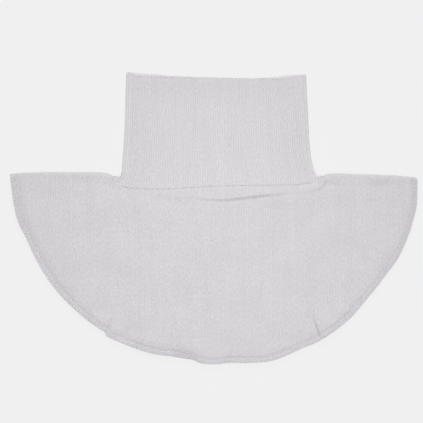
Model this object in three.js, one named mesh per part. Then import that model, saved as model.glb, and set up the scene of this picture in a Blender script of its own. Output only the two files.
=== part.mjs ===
import * as THREE from "three";

// A neck warmer of white rib knit, lying flat with its front up, in millimetres. X runs across it, Y towards
// the collar's mouth and Z up from the surface. A collar tube, folded double at its mouth, is sewn to a round
// cape. The cape is folded over the shoulders, so it has a front and a back layer, open along the hem, and an
// overlocked edging runs round its whole rim.

// Knit
const CAPE_WALL = 2.0;
const COLLAR_WALL = 3.0;
const EDGING_WALL = 2.6;
const EDGING_WIDTH = 6.0;
const HALF_GAP = 0.2; // what each of two sewn pieces keeps back from the seam between them
const EDGE_ROUND = 0.6; // how far a cut edge draws in from each face
const EDGE_ROUND_RUN = 1.2; // and over what width

// Heights over the surface that it lies on
const NECK_HEIGHT = 9.4; // both walls and the hollow, at the sides of the collar
const NECK_CROWN = 4.2; // how much higher the middle of the collar's front stands
const HEM_HEIGHT = 6.0; // both layers at the rim of the cape

// Flat cut of the cape: nearly an ellipse, folded along its long axis over the shoulders
const CAPE_HALF_WIDTH = 223.5;
const CAPE_HALF_LENGTH = 210.0;
const BACK_SHORTER = 1.2; // the back layer ends this much inside the front layer's outline
const BACK_MEETS = 0.3; // cosine of the hem angle by which the two layers' outlines have parted

// The shoulder folds, dipping at the two corners of the neck. Away from the fold the cloth hangs from one
// straight line, so the line's own rises and dips fade out between two distances from it.
const NECK_LEFT = -104.2;
const NECK_RIGHT = 115.6;
const SHOULDER_LINE = [
  { x: -224, y: 48.6 },
  { x: -208, y: 50.0 },
  { x: -180, y: 50.7 },
  { x: -130, y: 50.6 },
  { x: -117, y: 48.9 },
  { x: -110, y: 46.6 },
  { x: NECK_LEFT, y: 45.4 },
  { x: NECK_RIGHT, y: 46.3 },
  { x: 122, y: 48.4 },
  { x: 132, y: 49.7 },
  { x: 155, y: 48.8 },
  { x: 190, y: 47.5 },
  { x: 215, y: 45.7 },
  { x: 225, y: 44.0 },
];
const SHOULDER_Y = 48.2;
const FADE_FROM = 20;
const FADE_TO = 60;

// How far the hem stands outside the ellipse, by the angle from straight down, positive to the right
const HEM_FULLNESS = [
  { angle: -90, out: 0.4 },
  { angle: -84, out: -0.5 },
  { angle: -79, out: -0.5 },
  { angle: -75, out: -1.2 },
  { angle: -69, out: -4.3 },
  { angle: -61, out: -3.8 },
  { angle: -50, out: -3.0 },
  { angle: -34, out: -2.6 },
  { angle: -31.8, out: 0.1 },
  { angle: -28, out: -0.7 },
  { angle: -16, out: -2.8 },
  { angle: -12, out: -4.8 },
  { angle: -6.5, out: -4.6 },
  { angle: -3, out: -1.3 },
  { angle: 0, out: -0.8 },
  { angle: 4, out: -1.8 },
  { angle: 10, out: 0.9 },
  { angle: 17, out: 4.2 },
  { angle: 25, out: 2.5 },
  { angle: 31, out: 3.8 },
  { angle: 40, out: 3.0 },
  { angle: 51, out: -0.2 },
  { angle: 57, out: -0.1 },
  { angle: 65, out: 2.5 },
  { angle: 79, out: 2.9 },
  { angle: 86, out: 2.0 },
  { angle: 90, out: -3.0 },
];

// Neck seam on the front layer, between the two neck corners
const FRONT_SEAM = [
  { x: -96, y: 36.6 },
  { x: -88, y: 34.0 },
  { x: -70, y: 32.2 },
  { x: -48, y: 31.9 },
  { x: -15, y: 33.7 },
  { x: 15, y: 35.3 },
  { x: 50, y: 36.2 },
  { x: 88, y: 37.2 },
  { x: 103, y: 38.8 },
];

// Side folds of the collar, from the seam to the mouth
const COLLAR_SIDES = [
  { y: 38, left: NECK_LEFT, right: NECK_RIGHT },
  { y: 46, left: -103.4, right: 114.6 },
  { y: 52, left: -100.8, right: 111.8 },
  { y: 62, left: -100.3, right: 109.2 },
  { y: 75, left: -99.2, right: 107.0 },
  { y: 92, left: -98.0, right: 105.8 },
  { y: 115, left: -97.1, right: 104.8 },
  { y: 140, left: -96.6, right: 103.4 },
  { y: 162, left: -95.9, right: 102.8 },
];

// Folded rim of the collar: the front dips below the back near both corners
const COLLAR_RIM = [
  { x: -92, front: 159.0, back: 160.9 },
  { x: -84, front: 156.2, back: 160.1 },
  { x: -69, front: 155.0, back: 158.9 },
  { x: -47, front: 154.3, back: 157.2 },
  { x: -20, front: 154.0, back: 155.4 },
  { x: 10, front: 153.6, back: 154.4 },
  { x: 46, front: 153.2, back: 153.9 },
  { x: 66, front: 152.4, back: 155.0 },
  { x: 84, front: 154.0, back: 157.0 },
  { x: 99, front: 157.4, back: 158.6 },
];

// Low relief of the cape's front below the seam: a band that the seam allowance lifts, over a soft crease.
// The distances run down from the seam.
const CREASE = [
  { x: -60, below: 11, depth: 0.0 },
  { x: -36, below: 11.5, depth: 0.3 },
  { x: 8, below: 15.5, depth: 1.1 },
  { x: 30, below: 13.5, depth: 1.1 },
  { x: 68, below: 10, depth: 0.9 },
  { x: 104, below: 8.5, depth: 0.8 },
  { x: 112, below: 8, depth: 0.5 },
];
const CREASE_WIDTH = 2.6;
const BAND_LIFT = 0.8; // share of the crease's depth that the band above it rises
const BAND_PLACE = 0.45; // share of the way from the seam to the crease
const BAND_WIDTH = 0.35; // as a share of the same distance
const RELIEF_FADE = 8; // relief dies out over this distance from a shoulder fold

// Two short darts that run up from the hem
const DART_ANGLES = [-32, 32];
const DART_HALF_ANGLE = 1.3;
const DART_CLEAR_ANGLE = 2.9; // no other column runs nearer than this
const DART_LENGTH = 25;
const DART_DEPTH = 1.1;

// Slack of the hem's front layer, which waves a little over the back one
const WAVE_HEIGHT = 1.0;
const WAVE_REACH = 60; // how far up from the hem the waves run
const WAVE_TURNS = 11; // whole waves for each full turn of the hem angle
const WAVE_START = 0.6;

// How finely the surfaces are divided
const FRONT_STEPS = 38;
const BACK_STEPS = 26;
const FOLD_STEPS = 8;
const NECK_ROWS = [0, EDGE_ROUND_RUN, 5, 8.5, 11.5, 14, 17.5, 23]; // distances from the seam
const CAPE_MIDDLE_ROWS = 5;
const HEM_ROWS = [30, 17, 8, EDGE_ROUND_RUN, 0]; // distances from the inner side of the edging
const COLLAR_MIDDLE_ROWS = 5;
const RIM_ROWS = [
  { below: 1.5, draw: 0 },
  { below: 0.45, draw: 0.45 },
  { below: 0, draw: 1.1 },
];
const EDGING_ROWS = [
  { along: 0, draw: 0.5 },
  { along: 0.16, draw: 0 },
  { along: 0.84, draw: 0 },
  { along: 1, draw: 0.8 },
];

const QUARTER = Math.PI / 2;
const { lerp, clamp, smoothstep, degToRad, radToDeg } = THREE.MathUtils;

// Smooth curve through a table's rows that never overshoots them: one column, read at a place on another
function along(table, key, value, at) {
  const last = table.length - 1;
  const slope = (i) => (table[i + 1][value] - table[i][value]) / (table[i + 1][key] - table[i][key]);
  const tangent = (i) => {
    if (i === 0 || i === last) return 0;
    const before = slope(i - 1);
    const after = slope(i);
    return before * after <= 0 ? 0 : (2 * before * after) / (before + after);
  };
  const x = clamp(at, table[0][key], table[last][key]);
  const row = table.findIndex((next, i) => i > 0 && x <= next[key]) - 1;
  const span = table[row + 1][key] - table[row][key];
  const t = (x - table[row][key]) / span;
  const square = t * t;
  const cube = square * t;
  return (
    table[row][value] * (2 * cube - 3 * square + 1) +
    table[row + 1][value] * (3 * square - 2 * cube) +
    tangent(row) * span * (cube - 2 * square + t) +
    tangent(row + 1) * span * (cube - square)
  );
}

// Axes of the neck's two corners: the collar's side fold and the shoulder fold meet there in a mitre
const NECK_RADIUS = NECK_HEIGHT / 2;
const HEM_RADIUS = HEM_HEIGHT / 2;
const TAKE_UP = QUARTER - 1; // what a fold takes of the cloth, for each millimetre of its radius
const foldY = (x, d) =>
  lerp(along(SHOULDER_LINE, "x", "y", x), SHOULDER_Y, smoothstep(Math.abs(d), FADE_FROM, FADE_TO));
const cornerAt = (x) => ({ x, y: foldY(x, 0) - NECK_RADIUS });
const LEFT_CORNER = cornerAt(NECK_LEFT + NECK_RADIUS);
const RIGHT_CORNER = cornerAt(NECK_RIGHT - NECK_RADIUS);
const SEAM_LINE = [LEFT_CORNER, ...FRONT_SEAM, RIGHT_CORNER];
const cornerOf = (column) => (column.side < 0 ? LEFT_CORNER : RIGHT_CORNER);

// Columns run from the mouth over the seam to the hem. A front or back column holds its share of the way
// across the neck and its angle at the hem, and a fold column its turn round the fold, 0 on the front.
const HEM_END = 90 - radToDeg(HEM_RADIUS / CAPE_HALF_LENGTH);

function hemAngles(steps, darts) {
  const even = Array.from({ length: steps + 1 }, (_, i) => lerp(-HEM_END, HEM_END, i / steps));
  const near = (angle) => darts.some((dart) => Math.abs(angle - dart) < DART_CLEAR_ANGLE);
  const edges = darts.flatMap((dart) => [-1, 0, 1].map((side) => dart + side * DART_HALF_ANGLE));
  return [...even.filter((angle) => !near(angle)), ...edges].sort((a, b) => a - b);
}

function makeColumns() {
  const across = (layer, darts, steps) =>
    hemAngles(steps, darts).map((angle) => ({ layer, angle, share: (angle / HEM_END + 1) / 2 }));
  const round = (side) =>
    Array.from({ length: FOLD_STEPS - 1 }, (_, i) => ({
      layer: "fold",
      side,
      turn: (Math.PI * (i + 1)) / FOLD_STEPS,
    }));
  return [
    ...across("front", DART_ANGLES, FRONT_STEPS),
    ...round(1),
    ...across("back", [], BACK_STEPS).reverse(),
    ...round(-1).reverse(),
  ];
}
const COLUMNS = makeColumns();

// Crown of the neck across the front, 1 in the middle and 0 at the folds
const crownOf = (column) => (column.layer === "front" ? 1 - (2 * column.share - 1) ** 2 : 0);

// A point of the collar's wall, drawn in by some depth from the outer face
function collarPoint(column, y, depth) {
  const left = along(COLLAR_SIDES, "y", "left", y) + NECK_RADIUS;
  const right = along(COLLAR_SIDES, "y", "right", y) - NECK_RADIUS;
  if (column.layer === "fold") {
    const out = (NECK_RADIUS - depth) * Math.sin(column.turn);
    const x = column.side < 0 ? left - out : right + out;
    return new THREE.Vector3(x, y, NECK_RADIUS + (NECK_RADIUS - depth) * Math.cos(column.turn));
  }
  const x = lerp(left, right, column.share);
  const z = column.layer === "back" ? depth : NECK_HEIGHT + NECK_CROWN * crownOf(column) - depth;
  return new THREE.Vector3(x, y, z);
}

// Where the seam lies on a column, for a face drawn in by some depth: the mitre slants it round the corners
function seamY(column, depth) {
  if (column.layer === "fold") {
    return cornerOf(column).y + (NECK_RADIUS - depth) * Math.sin(column.turn);
  }
  if (column.layer === "front") {
    return along(SEAM_LINE, "x", "y", lerp(LEFT_CORNER.x, RIGHT_CORNER.x, column.share));
  }
  return lerp(LEFT_CORNER.y, RIGHT_CORNER.y, column.share);
}

function rimY(column) {
  const across = (share, face) =>
    along(COLLAR_RIM, "x", face, lerp(COLLAR_RIM[0].x, COLLAR_RIM.at(-1).x, share));
  if (column.layer !== "fold") return across(column.share, column.layer);
  const end = column.side < 0 ? 0 : 1;
  return lerp(across(end, "front"), across(end, "back"), column.turn / Math.PI);
}

// Rows of the collar: near the seam, up the wall, and round the folded rim
function collarRows() {
  const wall = (depthOf) => (column, depth) => collarPoint(column, depthOf(column, depth), depth);
  const start = EDGE_ROUND_RUN + HALF_GAP;
  const rows = [{ draw: EDGE_ROUND, at: wall((c, depth) => seamY(c, depth) + HALF_GAP) }];
  for (let i = 0; i <= COLLAR_MIDDLE_ROWS; i += 1) {
    const share = i / (COLLAR_MIDDLE_ROWS + 1);
    rows.push({ draw: 0, at: wall((c) => lerp(seamY(c, 0) + start, rimY(c), share)) });
  }
  for (const { below, draw } of RIM_ROWS) {
    rows.push({ draw, at: wall((c) => rimY(c) - below) });
  }
  return rows;
}

// A point of the flat cut at the neck and at the hem: x across, d from the shoulder fold, positive on the
// front layer and negative on the back one
function neckCut(column) {
  if (column.layer === "fold") {
    const x = cornerOf(column).x + column.side * (NECK_RADIUS * Math.sin(column.turn) + HALF_GAP);
    return { x, d: NECK_RADIUS * (QUARTER - column.turn) };
  }
  const x = lerp(LEFT_CORNER.x, RIGHT_CORNER.x, column.share);
  const d = foldY(x, 0) - seamY(column, 0) + NECK_RADIUS * TAKE_UP + HALF_GAP;
  return { x, d: column.layer === "front" ? d : -d };
}

function hemCut(column) {
  const fold = column.layer === "fold";
  const drop = fold ? HEM_RADIUS * (1 - Math.sin(column.turn)) : 0;
  const angle = fold ? column.side * (QUARTER - drop / CAPE_HALF_LENGTH) : degToRad(column.angle);
  const sine = Math.sin(angle);
  const cosine = Math.cos(angle);
  const shorter = column.layer === "back" ? BACK_SHORTER * smoothstep(cosine, 0, BACK_MEETS) : 0;
  const out = along(HEM_FULLNESS, "angle", "out", radToDeg(angle)) - shorter;
  const normal = new THREE.Vector2(sine / CAPE_HALF_WIDTH, cosine / CAPE_HALF_LENGTH).normalize();
  const x = CAPE_HALF_WIDTH * sine + out * normal.x;
  if (fold) return { x, d: HEM_RADIUS * (QUARTER - column.turn) };
  const d = CAPE_HALF_LENGTH * cosine + out * normal.y + HEM_RADIUS * TAKE_UP;
  return { x, d: column.layer === "front" ? d : -d };
}

const columnLength = (column) => {
  const from = neckCut(column);
  const to = hemCut(column);
  return Math.hypot(to.x - from.x, to.d - from.d);
};

// Relief of the front layer, over the smooth fall from the neck to the hem
function relief(column, x, below, beforeHem) {
  if (column.layer !== "front") return 0;
  const centre = along(CREASE, "x", "below", x);
  const depth = along(CREASE, "x", "depth", x);
  const crease = Math.exp(-(((below - centre) / CREASE_WIDTH) ** 2));
  const band = Math.exp(-(((below / centre - BAND_PLACE) / BAND_WIDTH) ** 2));
  const dart = DART_ANGLES.includes(column.angle) ? 1 - smoothstep(beforeHem, 0, DART_LENGTH) : 0;
  const angle = degToRad(column.angle);
  const slack = Math.cos(angle) ** 2 * (1 - smoothstep(beforeHem, 0, WAVE_REACH));
  const wave = (1 + Math.sin(WAVE_TURNS * angle + WAVE_START)) / 2;
  return depth * (BAND_LIFT * band - crease) - DART_DEPTH * dart + WAVE_HEIGHT * slack * wave;
}

// A point of the cape, some share of the way along its column from the neck to the hem
function capePoint(column, share, depth) {
  const from = neckCut(column);
  const to = hemCut(column);
  const length = columnLength(column);
  const x = lerp(from.x, to.x, share);
  const d = lerp(from.d, to.d, share);
  const fall = smoothstep(share, 0, 1);
  const radius = lerp(NECK_RADIUS, HEM_RADIUS, fall);
  const flat = Math.abs(d) - radius * QUARTER;
  if (flat < 0) {
    const turn = QUARTER - d / radius;
    return new THREE.Vector3(
      x,
      foldY(x, d) - radius + (radius - depth) * Math.sin(turn),
      radius + (radius - depth) * Math.cos(turn),
    );
  }
  const y = foldY(x, d) - radius - flat;
  if (d < 0) return new THREE.Vector3(x, y, depth);
  const crown = NECK_CROWN * crownOf(column) * (1 - fall);
  const lift = relief(column, x, share * length, (1 - share) * length) * smoothstep(flat, 0, RELIEF_FADE);
  return new THREE.Vector3(x, y, 2 * radius + crown + lift - depth);
}

// The mitre of the cape's neck edge: a face drawn in by some depth reaches further into the corner
function mitred(point, column, depth) {
  if (column.layer === "fold") point.x -= column.side * depth * Math.sin(column.turn);
  return point;
}

function capeRows() {
  const inner = (column) => 1 - (EDGING_WIDTH + 2 * HALF_GAP) / columnLength(column);
  const near = (i) => (column) => NECK_ROWS[i] / columnLength(column);
  const nearHem = (i) => (column) => inner(column) - HEM_ROWS[i] / columnLength(column);
  const between = (i) => (column) =>
    lerp(near(NECK_ROWS.length - 1)(column), nearHem(0)(column), i / (CAPE_MIDDLE_ROWS + 1));
  const shares = [
    ...NECK_ROWS.map((_, i) => near(i)),
    ...Array.from({ length: CAPE_MIDDLE_ROWS }, (_, i) => between(i + 1)),
    ...HEM_ROWS.map((_, i) => nearHem(i)),
  ];
  return shares.map((share, i) => ({
    draw: i === 0 || i === shares.length - 1 ? EDGE_ROUND : 0,
    at: (column, depth) => {
      const point = capePoint(column, share(column), depth);
      return i === 0 ? mitred(point, column, depth) : point;
    },
  }));
}

const edgingRows = () =>
  EDGING_ROWS.map(({ along: part, draw }) => ({
    draw,
    at: (column, depth) =>
      capePoint(column, 1 - ((1 - part) * EDGING_WIDTH) / columnLength(column), depth),
  }));

// A closed wall that runs round the neck: its rings go along the outer face and back along the inner one
function ringWall(rows, thickness) {
  const outer = rows.map(({ at, draw }) => COLUMNS.map((column) => at(column, draw)));
  const inner = rows.map(({ at, draw }) => COLUMNS.map((column) => at(column, thickness - draw)));
  const rings = [...outer, ...inner.reverse()];
  const around = COLUMNS.length;
  const corner = (ring, i) => (ring % rings.length) * around + (i % around);
  const faces = [];
  rings.forEach((_, ring) => {
    for (let i = 0; i < around; i += 1) {
      const a = corner(ring, i);
      const b = corner(ring, i + 1);
      const c = corner(ring + 1, i + 1);
      const d = corner(ring + 1, i);
      faces.push(a, b, c, a, c, d);
    }
  });
  const geometry = new THREE.BufferGeometry().setFromPoints(rings.flat());
  geometry.setIndex(faces);
  return geometry;
}

// Turns a closed geometry's faces outwards, if they point in
function facingOut(geometry) {
  const position = geometry.getAttribute("position");
  const index = geometry.getIndex();
  const corner = (k) => new THREE.Vector3().fromBufferAttribute(position, index.getX(k));
  let volume = 0;
  for (let k = 0; k < index.count; k += 3) {
    volume += corner(k).dot(corner(k + 1).cross(corner(k + 2)));
  }
  if (volume < 0) {
    for (let k = 0; k < index.count; k += 3) {
      const second = index.getX(k + 1);
      index.setX(k + 1, index.getX(k + 2));
      index.setX(k + 2, second);
    }
  }
  geometry.computeVertexNormals();
  return geometry;
}

const knit = (color) => new THREE.MeshStandardMaterial({ color, roughness: 0.95, metalness: 0 });

function piece(name, rows, thickness, color) {
  const mesh = new THREE.Mesh(facingOut(ringWall(rows, thickness)), knit(color));
  mesh.name = name;
  return mesh;
}

const neckWarmer = new THREE.Group();
neckWarmer.add(
  piece("collar", collarRows(), COLLAR_WALL, "#d7d5d8"),
  piece("cape", capeRows(), CAPE_WALL, "#d4d2d5"),
  piece("hem_edging", edgingRows(), EDGING_WALL, "#d0ced0"),
);

// The origin is the middle of the outline, on the surface that the piece lies on
const box = new THREE.Box3().setFromObject(neckWarmer);
const middle = box.getCenter(new THREE.Vector3());
for (const mesh of neckWarmer.children) mesh.position.set(-middle.x, -middle.y, -box.min.z);

export default neckWarmer;
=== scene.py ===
# %% [markdown]
# # A neck warmer of white rib knit, laid flat with its front up
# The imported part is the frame: its solids give the place and size of every piece made here. All three
# solids are soft, so each is replaced by knitted cloth or thread made from the same tables of sizes.

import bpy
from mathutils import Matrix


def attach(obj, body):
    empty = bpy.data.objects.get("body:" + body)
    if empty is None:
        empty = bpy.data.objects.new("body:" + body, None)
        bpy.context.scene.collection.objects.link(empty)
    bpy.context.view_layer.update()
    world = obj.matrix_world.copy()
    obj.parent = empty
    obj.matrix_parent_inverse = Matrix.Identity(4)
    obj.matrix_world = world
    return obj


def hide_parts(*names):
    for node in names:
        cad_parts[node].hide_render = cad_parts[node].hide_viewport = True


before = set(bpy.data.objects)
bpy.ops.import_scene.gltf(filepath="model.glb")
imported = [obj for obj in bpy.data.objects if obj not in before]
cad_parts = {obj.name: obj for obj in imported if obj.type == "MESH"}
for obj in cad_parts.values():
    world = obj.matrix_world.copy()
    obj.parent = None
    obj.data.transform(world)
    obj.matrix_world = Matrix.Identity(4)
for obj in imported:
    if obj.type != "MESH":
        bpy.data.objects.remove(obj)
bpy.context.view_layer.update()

# %% [markdown]
# ## Smooth curves through a few measured points
# Seams, folds and hems on a real garment are smooth lines, measured at a few places. A spline through
# them can overshoot between two points, so this one takes the harmonic mean of the slopes on both sides,
# which keeps each stretch between its two ends. All sizes below are in millimetres.

# %% Curve helpers
import math
import random
from bisect import bisect_right

import bmesh
import bpy
from mathutils import Vector, noise

MM = 0.001
QUARTER = math.pi / 2


def mix(a, b, share):
    return a + (b - a) * share


def smoothstep(start, end, at):
    t = min(max((at - start) / (end - start), 0.0), 1.0)
    return t * t * (3 - 2 * t)


def smooth_curve(rows):
    """The smooth curve through (place, value) rows, as a function of the place."""
    places = [place for place, _ in rows]
    slopes = [(b[1] - a[1]) / (b[0] - a[0]) for a, b in zip(rows, rows[1:])]
    inner = [2 * a * b / (a + b) if a * b > 0 else 0.0 for a, b in zip(slopes, slopes[1:])]
    tangents = [0.0, *inner, 0.0]

    def value(at):
        at = min(max(at, places[0]), places[-1])
        i = min(bisect_right(places, at), len(places) - 1) - 1
        span = places[i + 1] - places[i]
        t = (at - places[i]) / span
        rise = t * t * (3 - 2 * t)
        start = tangents[i] * span * t * (1 - t) ** 2
        end = tangents[i + 1] * span * t * t * (t - 1)
        return mix(rows[i][1], rows[i + 1][1], rise) + start + end

    return value


# %% [markdown]
# ## The flat cut of the cape
# The cape is one round piece of knit with a slit for the neck. It is described as it lies on the cutting
# table: x runs across it and d down from the shoulder fold, positive on the front and negative on the
# back. The numbers are those of the part's source, fitted a little closer to the real outline, so cloth
# and solid share one place.

# %% Sizes of the cloth
CAPE_WALL = 2.0
COLLAR_WALL = 3.0
BAND_WIDTH = 6.2  # overlocked band along the hem
SEAM_GAP = 0.2  # what each of two sewn pieces keeps back from the seam line

NECK_RADIUS = 4.7  # half the height of the flattened neck
NECK_CROWN = 4.2  # how much higher the middle of the neck's front stands
FOLD_ACROSS = 2.4  # half the width of the pressed side folds
HEM_RADIUS = 3.0  # half the height of both layers at the hem
TAKE_UP = QUARTER - 1  # cloth that a fold takes up, for each millimetre of its radius

CAPE_HALF_WIDTH = 223.5
CAPE_HALF_LENGTH = 210.0
BACK_SHORTER = 1.2
BACK_MEETS = 0.3
NECK_LEFT = -104.2
NECK_RIGHT = 115.6
SHOULDER_Y = 48.2
FADE_FROM = 20
FADE_TO = 60

shoulder_line = smooth_curve([
    (-224, 48.6), (-208, 50.0), (-180, 50.7), (-130, 50.6), (-117, 49.3), (-110.5, 46.2),
    (NECK_LEFT, 45.8), (NECK_RIGHT, 45.9), (120, 45.8), (124, 48.2), (132, 49.3), (155, 48.5),
    (190, 47.5), (215, 45.7), (221, 44.8), (225, 43.2),
])
# How far the hem stands outside an ellipse, by the angle from straight down
hem_fullness = smooth_curve([
    (-90, 0.2), (-84, -0.8), (-79, -0.8), (-75, -1.5), (-69, -4.5), (-61, -4.0), (-50, -3.2),
    (-32.7, -3.0), (-31.9, -0.1), (-28, -1.1), (-16, -3.0), (-12, -4.8), (-6.5, -4.6), (-3, -1.3),
    (0, -0.8), (4, -1.8), (10, 0.9), (17, 4.2), (25, 2.5), (31, 3.8), (40, 3.0), (51, -0.2),
    (57, -0.1), (65, 2.5), (79, 2.9), (82, 2.7), (85, 1.8), (88, 1.2), (90, 1.1),
])
# How far the back layer shows past the front at the hem, by the same angle
hem_peep = smooth_curve([(-13.5, 0), (-12, 0.6), (-9, 0.8), (-6.5, 0.6), (-5, 0)])
FRAME_SHIFT = Vector((-0.439, 0.050, 0.0))  # from the tables' origin to the part's own

# %% [markdown]
# ## Folding the flat cut over the shoulders
# The cloth is knitted and cut flat, then folded along its long axis. Bending it by a lattice or a cloth
# simulation would lose the exact outline, so a function says where each point of the flat cut comes to
# lie: round the fold on a small radius, then down the front or the back.


# %% Where the neck corners and the seam lie
def fold_y(x, d):
    return mix(shoulder_line(x), SHOULDER_Y, smoothstep(FADE_FROM, FADE_TO, abs(d)))


LEFT_CORNER = (NECK_LEFT + FOLD_ACROSS, fold_y(NECK_LEFT + FOLD_ACROSS, 0) - NECK_RADIUS)
RIGHT_CORNER = (NECK_RIGHT - FOLD_ACROSS, fold_y(NECK_RIGHT - FOLD_ACROSS, 0) - NECK_RADIUS)
front_seam = smooth_curve([
    LEFT_CORNER, (-101.0, 38.4), (-99.8, 35.9), (-98, 34.3), (-96, 33.5), (-91, 32.3), (-84.7, 31.6),
    (-70, 31.4), (-52.8, 31.3), (-20, 33.0), (13, 34.6), (57, 35.3), (88, 36.0), (95.7, 36.3),
    (106.7, 37.9), (111, 39.6), RIGHT_CORNER,
])
back_seam = smooth_curve([LEFT_CORNER, RIGHT_CORNER])
SLIT_ENDS = (NECK_LEFT - SEAM_GAP, NECK_RIGHT + SEAM_GAP)
left_tug = smooth_curve([(27, 0), (32, -1.6), (37, -4.0), (41, -1.6), (46.3, 2.6), (50.5, 1.2), (57, 0)])
TUG_REACH = 9.0


def bell(at, width):
    return math.exp(-((at / width) ** 2))


def tug(place):
    """Moves cloth near the neck's left corner sideways: out by the seam's hook, and in above it."""
    place.x += left_tug(place.y) * bell(place.x - NECK_LEFT, TUG_REACH)
    return place


def slit_edge(x, layer):
    """Distance of the slit's edge from the shoulder fold, on the front or the back layer."""
    if not SLIT_ENDS[0] < x < SLIT_ENDS[1]:
        return 0.0
    past = max(LEFT_CORNER[0] - x, x - RIGHT_CORNER[0]) - SEAM_GAP
    if past > 0:
        return NECK_RADIUS * (QUARTER - math.asin(min(past / FOLD_ACROSS, 1.0)))
    seam = front_seam if layer == "front" else back_seam
    return fold_y(x, 0) - seam(x) + NECK_RADIUS * TAKE_UP + SEAM_GAP


print("slit edge in the middle of the front:", round(slit_edge(5, "front"), 2), "mm")

# %% [markdown]
# ## Folds, darts and puckers of the front
# Under the neck seam the turned-in seam allowance lifts a flat band, and the cloth breaks below it in
# one sharp crease that runs up to the right shoulder. Two darts pull the hem in, the left shoulder
# puckers beside the collar, and three soft folds cross the front: a long one, one under the right
# shoulder and one over the hem. Sculpting them by hand would lose their place, so each is a line on the
# cloth as it lies, with a step or a groove along it. Each row of a table has x, y and the depth there.

# %% Lines of the folds
CREASE = [
    (-50, 22.0, 0), (-38.5, 22.0, 0.2), (-22, 21.9, 0.6), (-7, 20.3, 1.1), (4, 19.5, 1.5),
    (10.6, 19.3, 1.9), (18.7, 20.0, 2.1), (28.1, 21.3, 2.2), (45.7, 23.3, 2.2), (57.2, 24.5, 2.1),
    (68.2, 25.4, 1.6), (76, 25.8, 0.9), (83.6, 26.4, 0.45), (97.9, 27.2, 0.35), (107.8, 28.3, 0.7),
    (115.5, 31.0, 1.2), (119.9, 34.0, 1.2), (122.6, 38, 1.1), (123.4, 41.2, 1.1), (122.4, 43.7, 1.3),
    (120.6, 45.8, 1.4),
]
LEFT_DART = [
    (-109.2, -105.1, 0), (-110.3, -108.5, 0.4), (-112.5, -113.9, 0.9), (-114.9, -119.4, 1.3),
    (-117.5, -124.9, 1.5), (-118.9, -128.7, 1.5),
]
RIGHT_DART = [
    (108.9, -106.5, 0), (111.1, -113, 1.1), (113.8, -120.5, 1.9), (115.9, -126, 1.9), (117.8, -131.5, 1.9),
]
LONG_FOLD = [
    (-158, -30, 0), (-141.4, -23.2, 0.7), (-124.9, -17.5, 0.9), (-108.4, -11, 0.85), (-91.9, -6.2, 0.9),
    (-75.4, -3, 0.7), (-58, -2, 0),
]
SHOULDER_ROLL = [
    (116, 38, 0), (124, 38.5, 0.7), (136, 38, 0.8), (150, 38, 0.4), (165, 38, 0.25), (178, 38, 0.3),
    (195, 38, 0.15), (206, 38, 0),
]
HEM_FOLD = [(-108, -120.5, 0), (-92, -119, 0.35), (-69.3, -115.5, 0.3), (-30, -111.5, 0.3), (-4, -108.9, 0)]
PUCKER_ABOVE = [(-117.7, 49.7, 0.3), (-115.2, 46.2, 1.0), (-112.4, 43.3, 1.8), (-109.7, 41.5, 0.6)]
PUCKER_BELOW = [(-110, 46.2, 0.6), (-107.1, 44.7, 1.6), (-104.9, 42.5, 1.6), (-104.3, 39.6, 0.6)]
print("the crease runs through", len(CREASE), "points")

# %% [markdown]
# ## A step or a groove along a line
# The nearest point of the line says how far along it and how far beside it a place is. The relief fades
# away on both sides, each with its own height and reach. Two sides of one height make a groove, and two
# that differ make a step, as where cloth folds over itself.

# %% Relief along a line
BELL_END = 2.5  # widths from its middle at which a bell has all but died away


def fold_line(rows, left, right, edge):
    """Relief along a line, with a step at it. Left and right, as the line runs, have the cloth's
    height beside it, as a share of the line's depth, and how far that height reaches."""
    ends = [Vector(row[:2]) for row in rows]
    starts = [0.0]
    for a, b in zip(ends, ends[1:]):
        starts.append(starts[-1] + (b - a).length)
    depth = smooth_curve([(at, row[2]) for at, row in zip(starts, rows)])
    reach = BELL_END * max(left[1], right[1])
    low = [min(end[i] for end in ends) - reach for i in (0, 1)]
    high = [max(end[i] for end in ends) + reach for i in (0, 1)]

    def relief(x, y):
        if not (low[0] < x < high[0] and low[1] < y < high[1]):
            return 0.0
        nearest = (reach, 0.0, 0.0)
        for a, b, start in zip(ends, ends[1:], starts):
            run = b - a
            share = min(max(((x - a.x) * run.x + (y - a.y) * run.y) / run.length_squared, 0.0), 1.0)
            dx, dy = x - a.x - run.x * share, y - a.y - run.y * share
            gap = math.hypot(dx, dy)
            if gap < nearest[0]:
                to_left = run.x * dy > run.y * dx
                nearest = (gap, -gap if to_left else gap, start + share * run.length)
        gap, past, at = nearest
        if gap >= reach:
            return 0.0
        beside = [height * bell(past, width) for height, width in (left, right)]
        return depth(at) * mix(*beside, smoothstep(-edge, edge, past))

    return relief


# %% [markdown]
# ## Put the folds together
# The front layer also lies in gentle lumps, where it was smoothed out by hand, and in low waves near the
# hem. All of it adds up to one height over the cloth's smooth fall. Lumps come from noise, which is the
# same in each run. Each kind has its height, its size across and down, and its own slice of the noise.

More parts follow.
